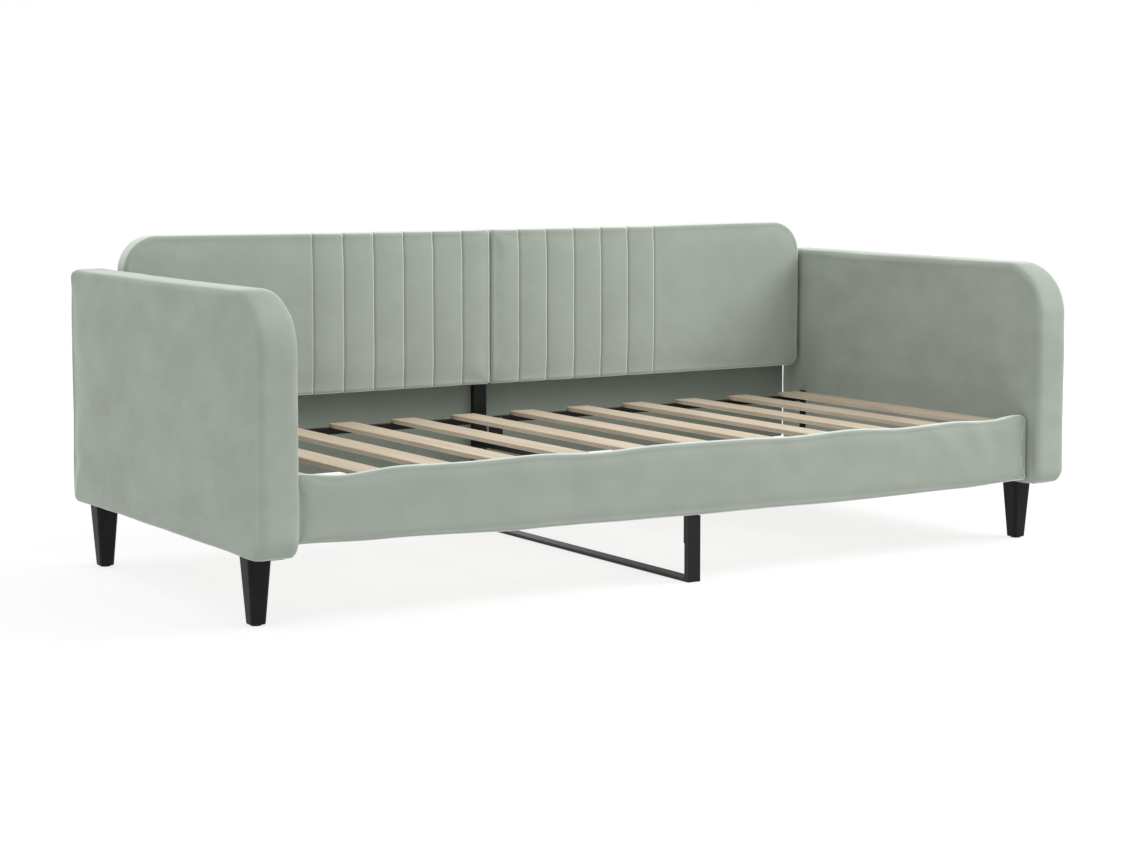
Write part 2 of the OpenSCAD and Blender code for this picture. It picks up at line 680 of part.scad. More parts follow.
module centre_bolts() color("silver") {
    for (z = rail_bolt_z) forward_bolt(0, rail_back_y + plate_t, z, plate_t + bolt_depth);
    for (z = post_bolt_z) forward_bolt(0, rail_back_y + plate_t, z, plate_t + post_d / 2);
    for (z = rear_bolt_z) forward_bolt(0, rear_y + rear_t, z, rear_t + post_d / 2);
    for (z = rear_plate_bolt_z)
        translate([0, back_rear_y - plate_t, z]) rotate([-90, 0, 0]) bolt(plate_t + post_d / 2);
    for (side = [LEFT, RIGHT]) {
        forward_bolt(side * prop_bolt_x, prop_front_y + plate_t, prop_bolt_z, plate_t + ledge_d - tube_wall);
        translate([side * prop_bolt_x, prop_rear_y, prop_bolt_z]) rotate([-90, 0, 0]) bolt(plate_t + ledge_d - tube_wall);
    }
    for (y = [prop_front_y, prop_rear_y - ledge_d])
        translate([0, prop_foot_mid(y), beam_top_z + plate_t]) rotate([180, 0, 0]) bolt(plate_t + beam_h / 2);
}

// ---------- nodes ----------

arm_timber(LEFT);  // arm_timber_left
arm_timber(RIGHT);  // arm_timber_right
arm_boards(LEFT);  // arm_boards_left
arm_boards(RIGHT);  // arm_boards_right
arm_foam(LEFT);  // arm_foam_left
arm_foam(RIGHT);  // arm_foam_right
arm_cover(LEFT);  // arm_cover_left
arm_cover(RIGHT);  // arm_cover_right
arm_dust_covers();
leg(LEFT, leg_front_y);  // leg_front_left
leg(RIGHT, leg_front_y);  // leg_front_right
leg(LEFT, leg_rear_y);  // leg_rear_left
leg(RIGHT, leg_rear_y);  // leg_rear_right
leg_glides();
leg_bolts();
leg_t_nuts();
front_rail_board();
front_rail_foam();
front_rail_cover();
back_board(LEFT);  // back_board_left
back_board(RIGHT);  // back_board_right
back_foam(LEFT);  // back_foam_left
back_foam(RIGHT);  // back_foam_right
back_cover(LEFT);  // back_cover_left
back_cover(RIGHT);  // back_cover_right
back_packers();
back_brackets();
rear_panel_board();
rear_panel_cover();
ledge(LEFT, ledge_front_y);  // ledge_front_left
ledge(RIGHT, ledge_front_y);  // ledge_front_right
ledge(LEFT, ledge_rear_y);  // ledge_rear_left
ledge(RIGHT, ledge_rear_y);  // ledge_rear_right
ledge_bracket(LEFT, front_bracket_y, ledge_front_y, true);  // ledge_bracket_front_left
ledge_bracket(RIGHT, front_bracket_y, ledge_front_y, true);  // ledge_bracket_front_right
ledge_bracket(LEFT, rear_bracket_y, ledge_rear_y, false);  // ledge_bracket_rear_left
ledge_bracket(RIGHT, rear_bracket_y, ledge_rear_y, false);  // ledge_bracket_rear_right
ledge_prop(prop_front_y, prop_front_y);  // ledge_prop_front
ledge_prop(prop_rear_y, prop_rear_y - ledge_d);  // ledge_prop_rear
centre_front_post();
centre_rear_post();
centre_cross_beam();
centre_floor_bar();
rear_post_cap();
arm_bolts();
panel_bolts();
centre_bolts();
slat_screws();
slat(0);  // slat_01
slat(1);  // slat_02
slat(2);  // slat_03
slat(3);  // slat_04
slat(4);  // slat_05
slat(5);  // slat_06
slat(6);  // slat_07
slat(7);  // slat_08
slat(8);  // slat_09
slat(9);  // slat_10
slat(10);  // slat_11
slat(11);  // slat_12
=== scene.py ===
"""Upholstered daybed for one single mattress: the pieces that show, and their finishes.

Every length is in metres. +X runs to the right, +Y to the back and +Z up, and the origin is on the
floor under the middle of the bed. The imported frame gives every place; the soft covers are modelled
here as sewn, padded forms, and the hard pieces keep their own solids and get a finish.
"""

import json
import logging
import math
from dataclasses import dataclass
from enum import Enum
from typing import Any, Callable, Iterable, Sequence

import bmesh
import bpy
from mathutils import Matrix, Vector, noise


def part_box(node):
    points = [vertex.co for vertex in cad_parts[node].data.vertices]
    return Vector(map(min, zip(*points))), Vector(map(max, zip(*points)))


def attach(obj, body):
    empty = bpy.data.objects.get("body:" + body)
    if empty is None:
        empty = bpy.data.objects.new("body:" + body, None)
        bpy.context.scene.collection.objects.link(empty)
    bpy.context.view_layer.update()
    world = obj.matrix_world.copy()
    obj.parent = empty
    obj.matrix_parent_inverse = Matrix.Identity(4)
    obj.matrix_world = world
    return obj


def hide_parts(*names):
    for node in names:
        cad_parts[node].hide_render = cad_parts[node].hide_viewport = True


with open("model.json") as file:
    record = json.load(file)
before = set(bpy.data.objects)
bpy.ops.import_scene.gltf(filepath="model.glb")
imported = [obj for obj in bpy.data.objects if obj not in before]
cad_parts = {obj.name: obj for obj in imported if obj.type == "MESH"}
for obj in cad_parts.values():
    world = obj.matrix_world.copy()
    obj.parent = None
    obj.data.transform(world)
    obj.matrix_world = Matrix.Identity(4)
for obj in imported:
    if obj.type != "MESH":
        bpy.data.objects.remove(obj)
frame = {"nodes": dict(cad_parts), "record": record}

MM = 0.001
LOG = logging.getLogger("daybed")


class Side(Enum):
    """Which end of the bed a piece stands at, seen from the front."""

    LEFT = -1
    RIGHT = 1

    @property
    def word(self) -> str:
        """The side's name as the frame's nodes spell it."""
        return self.name.lower()


class Axis(Enum):
    """The three directions of the frame."""

    X = 0
    Y = 1
    Z = 2

    @property
    def vector(self) -> Vector:
        """The unit vector along this axis."""
        return Vector([1.0 if i == self.value else 0.0 for i in range(3)])


# ---------- materials ----------


def linear_rgba(code: str) -> tuple[float, float, float, float]:
    """Turns an sRGB colour into the linear values that a shader takes.

    Args:
        code: six hex digits, with or without a leading hash.

    Returns:
        Linear red, green and blue, and an alpha of 1.
    """
    digits = code.lstrip("#")
    shares = [int(digits[i:i + 2], 16) / 255 for i in (0, 2, 4)]
    red, green, blue = (s / 12.92 if s <= 0.04045 else ((s + 0.055) / 1.055) ** 2.4 for s in shares)
    return red, green, blue, 1.0


def add_node(
    tree: bpy.types.NodeTree,
    kind: str,
    props: dict[str, Any] | None = None,
    values: dict[str | int, Any] | None = None,
    links: dict[str | int, bpy.types.NodeSocket] | None = None,
) -> bpy.types.Node:
    """Adds one node with its settings and its links.

    Args:
        tree: the node tree that gets the node.
        kind: the node's type name.
        props: attributes of the node itself.
        values: constants for its inputs, by name or number.
        links: sockets that feed its inputs, by name or number.

    Returns:
        The new node.
    """
    node = tree.nodes.new(kind)
    for name, value in (props or {}).items():
        setattr(node, name, value)
    for name, value in (values or {}).items():
        node.inputs[name].default_value = value
    for name, socket in (links or {}).items():
        tree.links.new(socket, node.inputs[name])
    return node


# Input and output numbers of the Mix node when it mixes colours
MIX_FACTOR, MIX_A, MIX_B, MIX_OUT = 0, 6, 7, 2


@dataclass(frozen=True)
class Finish:
    """A surface finish that is made into a material once.

    Attributes:
        name: the material's name.
        colour: main colour, sRGB hex.
        roughness: 0 is a mirror and 1 is fully dull.
    """

    name: str
    colour: str
    roughness: float

    def material(self) -> bpy.types.Material:
        """Gives the finish as a material, made the first time that it is asked for."""
        made = bpy.data.materials.get(self.name)
        if made is None:
            made = bpy.data.materials.new(self.name)
            made.use_nodes = True
            made.diffuse_color = linear_rgba(self.colour)
            shader = made.node_tree.nodes["Principled BSDF"]
            shader.inputs["Base Color"].default_value = linear_rgba(self.colour)
            shader.inputs["Roughness"].default_value = self.roughness
            self.dress(made.node_tree, shader)
        return made

    def dress(self, tree: bpy.types.NodeTree, shader: bpy.types.Node) -> None:
        """Adds what this finish has beyond a plain colour.

        Args:
            tree: the material's nodes.
            shader: its Principled shader.
        """

    def pattern(
        self, tree: bpy.types.NodeTree, size: Sequence[float], detail: float = 3.0,
        shift: float = 0.0,
    ) -> bpy.types.NodeSocket:
        """Adds a soft noise pattern whose patches have a real size along X, Y and Z.

        Args:
            tree: the material's nodes.
            size: size of a patch along each axis, in metres.
            detail: how many finer layers the pattern has.
            shift: moves the pattern, so that two of them differ.

        Returns:
            The pattern's value, about 0.3 to 0.7.
        """
        place = add_node(tree, "ShaderNodeTexCoord").outputs["Object"]
        mapped = add_node(
            tree, "ShaderNodeMapping",
            values={"Location": (shift, shift * 0.7, -shift), "Scale": [1 / s for s in size]},
            links={"Vector": place},
        )
        spots = add_node(
            tree, "ShaderNodeTexNoise",
            values={"Scale": 1.0, "Detail": detail, "Roughness": 0.55},
            links={"Vector": mapped.outputs["Vector"]},
        )
        return spots.outputs["Fac"]

    def blend(
        self, tree: bpy.types.NodeTree, value: bpy.types.NodeSocket,
        low: bpy.types.NodeSocket | str, high: bpy.types.NodeSocket | str,
        span: tuple[float, float] = (0.35, 0.65), strength: float = 1.0,
    ) -> bpy.types.NodeSocket:
        """Blends two colours by a pattern.

        Args:
            tree: the material's nodes.
            value: the pattern.
            low: colour, or colour socket, where the pattern is low.
            high: colour, or colour socket, where it is high.
            span: the pattern's values that give all of low and all of high.
            strength: share of the high colour at the top of the span.

        Returns:
            The blended colour's socket.
        """
        share = add_node(
            tree, "ShaderNodeMapRange", props={"interpolation_type": "SMOOTHSTEP"},
            values={"From Min": span[0], "From Max": span[1], "To Min": 0.0, "To Max": strength},
            links={"Value": value},
        )
        values: dict[str | int, Any] = {}
        links: dict[str | int, bpy.types.NodeSocket] = {MIX_FACTOR: share.outputs["Result"]}
        for number, colour in ((MIX_A, low), (MIX_B, high)):
            if isinstance(colour, str):
                values[number] = linear_rgba(colour)
            else:
                links[number] = colour
        mix = add_node(
            tree, "ShaderNodeMix", props={"data_type": "RGBA"}, values=values, links=links,
        )
        return mix.outputs[MIX_OUT]

    def bump(
        self, tree: bpy.types.NodeTree, shader: bpy.types.Node,
        heights: Iterable[tuple[bpy.types.NodeSocket, float, float]],
    ) -> None:
        """Adds relief that is too fine for the mesh.

        Args:
            tree: the material's nodes.
            shader: the shader that gets the relief.
            heights: (pattern, depth in metres, strength) of each layer, the finest last.
        """
        normal = None
        for pattern, depth, strength in heights:
            node = add_node(
                tree, "ShaderNodeBump", values={"Distance": depth, "Strength": strength},
                links={"Height": pattern},
            )
            if normal is not None:
                tree.links.new(normal, node.inputs["Normal"])
            normal = node.outputs["Normal"]
        tree.links.new(normal, shader.inputs["Normal"])


@dataclass(frozen=True)
class Velvet(Finish):
    """Short pile polyester velvet. Its base colour is painted paler where the surface is seen side
    on, a painted sheen that turns rims and folds pale, and brushed patches leave soft upright
    streaks.

    Attributes:
        crushed: darker colour of pile that leans away.
        brushed: paler colour of pile that leans towards the light.
        painted_sheen: painted sheen, the paler colour that the base colour is blended to where the
            pile is seen side on.
        painted_sheen_span: how far the surface is turned from the eye where that painted sheen
            starts and is full.
        mottle: strength of the patches, from 0 to 1.
        streak_share: how much of the patches is upright streaks, from 0 to 1.
        sheen: weight of the pale glow at grazing angles.
    """

    crushed: str = "818880"
    brushed: str = "9da59d"
    painted_sheen: str = "aab2a9"
    painted_sheen_span: tuple[float, float] = (0.62, 0.92)
    mottle: float = 0.3
    streak_share: float = 0.08
    sheen: float = 0.3

    def dress(self, tree: bpy.types.NodeTree, shader: bpy.types.Node) -> None:
        """Adds brushed patches, streaks, pile relief, the shader's sheen and a painted sheen in the
        base colour.
        """
        patches = self.pattern(tree, (90 * MM, 120 * MM, 80 * MM), detail=4.0)
        streaks = self.pattern(tree, (20 * MM, 26 * MM, 70 * MM), detail=3.0, shift=3.1)
        lean = self.blend(tree, patches, self.crushed, self.brushed, span=(0.25, 0.75))
        soft = self.blend(tree, streaks, self.crushed, self.brushed, span=(0.3, 0.7))
        worn = add_node(
            tree, "ShaderNodeMix", props={"data_type": "RGBA"},
            values={MIX_FACTOR: self.streak_share}, links={MIX_A: lean, MIX_B: soft},
        ).outputs[MIX_OUT]
        mixed = add_node(
            tree, "ShaderNodeMix", props={"data_type": "RGBA"},
            values={MIX_FACTOR: self.mottle, MIX_A: linear_rgba(self.colour)}, links={MIX_B: worn},
        ).outputs[MIX_OUT]
        # Painted sheen: the base colour is blended towards a paler colour where the surface is seen
        # side on
        painted_sheen_mask = add_node(tree, "ShaderNodeLayerWeight", values={"Blend": 0.5}).outputs["Facing"]
        sheen_painted_colour = self.blend(tree, painted_sheen_mask, mixed, self.painted_sheen, span=self.painted_sheen_span)
        tree.links.new(sheen_painted_colour, shader.inputs["Base Color"])
        shader.inputs["Sheen Weight"].default_value = self.sheen
        shader.inputs["Sheen Roughness"].default_value = 0.35
        shader.inputs["Sheen Tint"].default_value = linear_rgba("f4f7f3")
        shader.inputs["Specular IOR Level"].default_value = 0.2
        # Pile tufts are about 0.3 mm apart; they are drawn 2.4 mm apart, so that they still show
        pile = self.pattern(tree, (2.4 * MM, 2.4 * MM, 3.2 * MM), detail=2.0, shift=1.7)
        self.bump(tree, shader, [(patches, 1.5 * MM, 0.2), (pile, 0.25 * MM, 0.35)])


@dataclass(frozen=True)
class Veneer(Finish):
    """Poplar plywood, sanded and raw. The long grain runs along the slat in fine pale streaks, and
    the sawn edge shows its plies as thin darker lines, darkened further as painted shade on the
    edges.

    Attributes:
        streak: colour of the darker grain.
        ply_line_and_shade: colour of the cross plies at the edge, darkened to also paint the shade
            there.
        ply: thickness of one ply.
    """

    streak: str = "aa9b84"
    ply_line_and_shade: str = "7f6a4f"
    ply: float = 1.7 * MM

    def dress(self, tree: bpy.types.NodeTree, shader: bpy.types.Node) -> None:
        """Adds grain along Y, slow colour change and plies at the edges, which also carry painted
        shade.
        """
        grain = self.pattern(tree, (5 * MM, 260 * MM, 20 * MM), detail=4.0)
        slow = self.pattern(tree, (120 * MM, 500 * MM, 200 * MM), detail=2.0, shift=5.3)
        board = self.blend(tree, grain, self.colour, self.streak, span=(0.42, 0.72), strength=0.75)
        board = self.blend(tree, slow, board, self.streak, span=(0.4, 0.8), strength=0.4)
        place = add_node(tree, "ShaderNodeTexCoord").outputs["Object"]
        height = add_node(tree, "ShaderNodeSeparateXYZ", links={"Vector": place}).outputs["Z"]
        turns = add_node(
            tree, "ShaderNodeMath", props={"operation": "MULTIPLY"},
            values={1: math.pi / self.ply}, links={0: height},
        ).outputs[0]
        wave = add_node(
            tree, "ShaderNodeMath", props={"operation": "SINE"}, links={0: turns},
        ).outputs[0]
        # Cross plies on the sawn edges, dark enough to also be painted shade there
        plies_and_shade = self.blend(tree, wave, board, self.ply_line_and_shade, span=(-0.2, 0.8), strength=0.7)
        facing = add_node(tree, "ShaderNodeNewGeometry").outputs["Normal"]
        up = add_node(tree, "ShaderNodeSeparateXYZ", links={"Vector": facing}).outputs["Z"]
        flat = add_node(
            tree, "ShaderNodeMath", props={"operation": "ABSOLUTE"}, links={0: up},
        ).outputs[0]
        face = self.blend(tree, flat, plies_and_shade, board, span=(0.3, 0.8))
        tree.links.new(face, shader.inputs["Base Color"])
        shader.inputs["Specular IOR Level"].default_value = 0.35
        self.bump(tree, shader, [(grain, 0.3 * MM, 0.3)])


@dataclass(frozen=True)
class RawWood(Finish):
    """Raw timber or plywood inside the covers, with plain grain.

    Attributes:
        streak: colour of the darker grain.
        grain: size of a grain patch along X, Y and Z.
    """

    streak: str = "a98858"
    grain: tuple[float, float, float] = (12 * MM, 300 * MM, 12 * MM)

    def dress(self, tree: bpy.types.NodeTree, shader: bpy.types.Node) -> None:
        """Adds grain."""
        grain = self.pattern(tree, self.grain, detail=4.0)
        board = self.blend(tree, grain, self.colour, self.streak)
        tree.links.new(board, shader.inputs["Base Color"])
        self.bump(tree, shader, [(grain, 0.3 * MM, 0.3)])


@dataclass(frozen=True)
class PowderCoat(Finish):
    """Satin black powder coat on steel tube. It has a faint orange-peel skin that softens
    reflections, and mirrors its surroundings where it is seen at a low angle.

    Attributes:
        worn: colour where the coat is slightly rubbed.
    """

    worn: str = "131314"

    def dress(self, tree: bpy.types.NodeTree, shader: bpy.types.Node) -> None:
        """Adds rubbed patches and the orange-peel skin."""
        shader.inputs["Specular IOR Level"].default_value = 0.25
        rub = self.pattern(tree, (60 * MM, 60 * MM, 60 * MM), detail=5.0)
        tree.links.new(
            self.blend(tree, rub, self.colour, self.worn, span=(0.5, 0.8), strength=0.6),
            shader.inputs["Base Color"],
        )
        # Real orange peel is about 1 mm across; it is drawn at 2 mm, so that it still shows
        peel = self.pattern(tree, (2 * MM, 2 * MM, 2 * MM), detail=1.0, shift=2.0)
        self.bump(tree, shader, [(peel, 0.12 * MM, 0.35)])


@dataclass(frozen=True)
class MouldedPlastic(Finish):
    """Injection-moulded polypropylene with a fine spark-eroded grain, which gives it a soft,
    even half-gloss.

    Attributes:
        scuff: colour of faint scuffs.
    """

    scuff: str = "171818"

    def dress(self, tree: bpy.types.NodeTree, shader: bpy.types.Node) -> None:
        """Adds moulded grain and faint scuffs."""
        shader.inputs["Specular IOR Level"].default_value = 0.17
        scuffs = self.pattern(tree, (25 * MM, 25 * MM, 60 * MM), detail=5.0)
        tree.links.new(
            self.blend(tree, scuffs, self.colour, self.scuff, span=(0.45, 0.75), strength=0.6),
            shader.inputs["Base Color"],
        )
        # Eroded grain is about 0.2 mm; it is drawn at 1.2 mm, so that it still shows
        grain = self.pattern(tree, (1.2 * MM, 1.2 * MM, 1.2 * MM), detail=1.0, shift=4.0)
        self.bump(tree, shader, [(grain, 0.08 * MM, 0.35)])


@dataclass(frozen=True)
class ZincPlate(Finish):
    """Bright zinc plating on bolts and screws, slightly clouded.

    Attributes:
        cloud: colour where the plating is dull.
    """

    cloud: str = "9a9ca0"

    def dress(self, tree: bpy.types.NodeTree, shader: bpy.types.Node) -> None:
        """Adds metal and clouding."""
        shader.inputs["Metallic"].default_value = 1.0
        dull = self.pattern(tree, (3 * MM, 3 * MM, 3 * MM), detail=3.0)
        plating = self.blend(tree, dull, self.colour, self.cloud)
        tree.links.new(plating, shader.inputs["Base Color"])


@dataclass(frozen=True)
class NonWoven(Finish):
    """Black spun-bonded cloth under the arms, dull and faintly fibrous.

    Attributes:
        fibre: colour of the paler fibres.
    """

    fibre: str = "232323"

    def dress(self, tree: bpy.types.NodeTree, shader: bpy.types.Node) -> None:
        """Adds fibres."""
        fibres = self.pattern(tree, (1.5 * MM, 6 * MM, 2 * MM), detail=3.0)
        cloth = self.blend(tree, fibres, self.colour, self.fibre)
        tree.links.new(cloth, shader.inputs["Base Color"])
        shader.inputs["Specular IOR Level"].default_value = 0.15
        self.bump(tree, shader, [(fibres, 0.2 * MM, 0.5)])


# One velvet in four ways of lying, each with its own painted sheen on rims and folds: the arms' pile
# is brushed to and fro and mottles most
ARM_VELVET = Velvet("velvet_brushed", "91988f", 0.9, mottle=0.34)
# The rail's pile lies down; its folds and its top edge turn pale by a paler painted sheen over a
# wider span
RAIL_VELVET = Velvet(
    "velvet_plain", "8f968d", 0.9, painted_sheen="c4cbc3", painted_sheen_span=(0.35, 0.75), mottle=0.22,
)
# The backrest's pile is stretched over the channels; a paler painted sheen over a wide span puts a
# pale line on each fold
BACK_VELVET = Velvet(
    "velvet_back", "949b92", 0.9, crushed="868d84", brushed="a2aaa1", painted_sheen="c4cbc3",
    painted_sheen_span=(0.33, 0.72), mottle=0.22,
)
# The rear panel's cover is a darker copy of the velvet, painted shade for the shadow under the
# backrest, and is glued flat, so that it mottles little
SHADED_REAR_VELVET = Velvet(
    "velvet_rear_painted_shade", "737b71", 0.9, crushed="6a7168", brushed="7f877e", mottle=0.22,
)
SLAT_WOOD = Veneer("poplar_plywood", "c4b5a1", 0.62)
BLACK_LEGS = MouldedPlastic("moulded_black", "090a0a", 0.45)
BLACK_GLIDES = MouldedPlastic("moulded_glide", "0c0c0c", 0.55)
BLACK_STEEL = PowderCoat("powder_coat_black", "0c0c0d", 0.36)
ZINC = ZincPlate("zinc_plate", "b9bbbf", 0.32)
DUST_CLOTH = NonWoven("dust_cloth", "161616", 0.95)
PINE = RawWood("pine_raw", "c9a877", 0.7)
PLYWOOD = RawWood("plywood_raw", "bf9c6b", 0.7)

# The finish of a hard piece, by the record's slot; the soft slots are not here
HARD_FINISHES: dict[str, Finish] = {
    "dust_cloth": DUST_CLOTH,
    "plywood": PLYWOOD,
    "timber": PINE,
    "slat_wood": SLAT_WOOD,
    "leg_plastic": BLACK_LEGS,
    "glide_plastic": BLACK_GLIDES,
    "black_steel": BLACK_STEEL,
    "zinc_steel": ZINC,
}


# ---------- padded forms ----------


def smooth_step(low: float, high: float, at: float) -> float:
    """Goes smoothly from 0 at low to 1 at high; low may be the larger of the two."""
    share = min(max((at - low) / (high - low), 0.0), 1.0)
    return share * share * (3 - 2 * share)


def along(points: Sequence[tuple[float, float]], at: float) -> float:
    """Reads a smooth line through a few points.

    Args:
        points: (place, value) pairs in rising order.
        at: the place to read.

    Returns:
        The value there, level beyond both ends.
    """
    if at <= points[0][0]:
        return points[0][1]
    for (start, before), (end, after) in zip(points, points[1:]):
        if at <= end:
            return before + (after - before) * smooth_step(start, end, at)
    return points[-1][1]


def cut_across(shell: bmesh.types.BMesh, axis: Axis, places: Iterable[float], snap: float) -> None:
    """Cuts the mesh by planes square to an axis, to give it rows of faces.

    Args:
        shell: the mesh.
        axis: the direction that the planes are square to.
        places: where each plane lies along the axis.
        snap: a point this near to a plane counts as on it.
    """
    for place in places:
        bmesh.ops.bisect_plane(
            shell, geom=shell.verts[:] + shell.edges[:] + shell.faces[:], dist=snap,
            plane_co=axis.vector * place, plane_no=axis.vector,
        )


@dataclass
class PaddedShell:
    """The closed cover of an upholstered board, before it swells.

    It starts at the origin, with its length along X, its height along Z and its thickness along Y.

    Attributes:
        length: size along X.
        height: size along Z.
        thickness: size along Y.
        corners: radius at the low start, high start, high end and low end.
        rim: rounding where the face and the back turn into the sides.
        cell: about how wide a face of the mesh is.
        seams: places along X that get close rows of faces, for sewn lines.
    """

    length: float
    height: float
    thickness: float
    corners: tuple[float, float, float, float]
    rim: float
    cell: float
    seams: tuple[float, ...] = ()

    # Faces across the quarter round of a rim, and the fewest across that of a corner
    RIM_SEGMENTS = 5
    CORNER_SEGMENTS = 4
    # A point this near to a line counts as on it
    ON_LINE = 0.1 * MM
    # A point this near to a cut moves onto it: at a seam, and elsewhere
    SEAM_SNAP = 0.2 * MM
    SNAP = 2.2 * MM
    # Points this near to each other become one: at the rims, and after the cuts
    RIM_MERGE = 0.6 * MM
    MERGE = 0.5 * MM
    # Where the rows of faces lie beside a seam, and how far the even rows stay away from it
    SEAM_ROWS = tuple(row * MM for row in (-9, -5.2, -3, -1.5, -0.6, 0.6, 1.5, 3, 5.2, 9))
    SEAM_CLEAR = 13 * MM

    def build(self) -> bmesh.types.BMesh:
        """Makes the shell.

        Returns:
            A closed mesh of mostly square faces.
        """
        shell = bmesh.new()
        bmesh.ops.create_cube(shell, size=1.0)
        size = Vector((self.length, self.thickness, self.height))
        bmesh.ops.scale(shell, vec=size, verts=shell.verts)
        bmesh.ops.translate(shell, vec=size / 2, verts=shell.verts)
        self._round_corners(shell)
        self._round_rims(shell)
        self._add_rows(shell)
        return shell

    def _round_corners(self, shell: bmesh.types.BMesh) -> None:
        """Rounds the four edges that run through the thickness."""
        places = ((0.0, 0.0), (0.0, self.height), (self.length, self.height), (self.length, 0.0))
        for (x, z), radius in zip(places, self.corners):
            edge = next(
                e for e in shell.edges
                if all(max(abs(v.co.x - x), abs(v.co.z - z)) < self.ON_LINE for v in e.verts)
            )
            bmesh.ops.bevel(
                shell, geom=[edge], offset=radius, affect="EDGES",
                segments=max(self.CORNER_SEGMENTS, round(radius * math.pi / 2 / self.cell)),
                profile=0.5, material=-1,
            )

    def _round_rims(self, shell: bmesh.types.BMesh) -> None:
        """Rounds the outline of the face and of the back."""
        for y in (0.0, self.thickness):
            outline = [
                e for e in shell.edges if all(abs(v.co.y - y) < self.ON_LINE for v in e.verts)
            ]
            bmesh.ops.bevel(
                shell, geom=outline, offset=self.rim, affect="EDGES", segments=self.RIM_SEGMENTS,
                profile=0.5, material=-1,
            )
        bmesh.ops.remove_doubles(shell, verts=shell.verts, dist=self.RIM_MERGE)

    def _add_rows(self, shell: bmesh.types.BMesh) -> None:
        """Cuts the faces into rows, first at the seams and then evenly."""
        for seam in self.seams:
            cut_across(shell, Axis.X, [seam + row for row in self.SEAM_ROWS], self.SEAM_SNAP)
        for axis, span in ((Axis.X, self.length), (Axis.Z, self.height), (Axis.Y, self.thickness)):
            count = max(2, round(span / self.cell))
            places = [span * i / count for i in range(1, count)]
            if axis is Axis.X:
                places = [
                    p for p in places if all(abs(p - s) > self.SEAM_CLEAR for s in self.seams)
                ]
            if axis is Axis.Y:
                places = [p for p in places if self.rim < p < self.thickness - self.rim]
            cut_across(shell, axis, places, self.SNAP)
        bmesh.ops.remove_doubles(shell, verts=shell.verts, dist=self.MERGE)


def as_object(shell: bmesh.types.BMesh, name: str) -> bpy.types.Object:
    """Turns a finished bmesh into an object in the scene, smooth and with its faces outwards.

    Args:
        shell: the mesh, which is freed.
        name: the object's name.

    Returns:
        The object.
    """
    bmesh.ops.recalc_face_normals(shell, faces=shell.faces)
    mesh = bpy.data.meshes.new(name)
    shell.to_mesh(mesh)
    shell.free()
    mesh.polygons.foreach_set("use_smooth", [True] * len(mesh.polygons))
    made = bpy.data.objects.new(name, mesh)
    bpy.context.scene.collection.objects.link(made)
    return made


@dataclass(frozen=True)
class Stuffing:
    """How foam pushes a cover out.

    Attributes:
        swell: the furthest that a point may move.
        pressure: pressure inside the cover.
        stiffness: how little the cloth stretches.
    """

    swell: float
    pressure: float = 4.0
    stiffness: float = 15.0

    # Steps that the swelling takes
    FRAMES = 20

    def fill(self, cover: bpy.types.Object, held: Callable[[Vector], bool]) -> None:
        """Lets the cover swell as cloth, and keeps the shape. The foam under it keeps it from
        sinking in.

        Args:
            cover: the cover's object, at the origin.
            held: says whether a point is stapled down.
        """
        rest = [v.co.copy() for v in cover.data.vertices]
        outwards = [v.normal.copy() for v in cover.data.vertices]
        pins = cover.vertex_groups.new(name="stapled")
        pins.add([i for i, point in enumerate(rest) if held(point)], 1.0, "REPLACE")
        cloth = cover.modifiers.new("cover", "CLOTH")
        settings = cloth.settings
        settings.quality = 5
        settings.mass = 0.3
        settings.tension_stiffness = settings.compression_stiffness = self.stiffness
        settings.shear_stiffness = 5.0
        settings.bending_stiffness = 0.5
        settings.use_pressure = True
        settings.uniform_pressure_force = self.pressure
        settings.vertex_group_mass = pins.name
        settings.effector_weights.gravity = 0.0
        cloth.collision_settings.use_collision = False
        for step in range(1, self.FRAMES + 1):
            bpy.context.scene.frame_set(step)
        posed = cover.evaluated_get(bpy.context.evaluated_depsgraph_get()).data.vertices
        for point, vertex, start, out in zip(posed, cover.data.vertices, rest, outwards):
            move = point.co - start
            move -= out * min(move.dot(out), 0.0)
            if move.length > self.swell:
                move *= self.swell / move.length
            vertex.co = start + move
        cover.modifiers.remove(cloth)
        cover.vertex_groups.remove(pins)
        bpy.context.scene.frame_set(1)
        cover.data.update()


@dataclass(frozen=True)
class Ripple:
    """Slow unevenness of foam and cloth.

    Attributes:
        depth: how far the surface moves at most, about.
        size: size of a wave along X, Y and Z.
        seed: moves the pattern, so that two pieces differ.
        fine: depth of the finer waves, as a share of the coarse ones'.
        finer: how many times finer they are.
    """

    depth: float
    size: tuple[float, float, float]
    seed: float
    fine: float = 0.4
    finer: float = 2.3

    def apply(
        self, cover: bpy.types.Object, share: Callable[[Vector], float] | None = None
    ) -> None:
        """Moves each point along its normal.

        Args:
            cover: the cover's object, at the origin.
            share: scales the move by the point's place.
        """
        shift = Vector((self.seed, self.seed * 1.7, -self.seed * 0.6))
        moves = []
        for vertex in cover.data.vertices:
            place = Vector([c / s for c, s in zip(vertex.co, self.size)]) + shift
            value = noise.noise(place) + self.fine * noise.noise(place * self.finer)
            scale = 1.0 if share is None else share(vertex.co)
            moves.append(vertex.normal * (value * self.depth * scale))
        for vertex, move in zip(cover.data.vertices, moves):
            vertex.co += move
        cover.data.update()


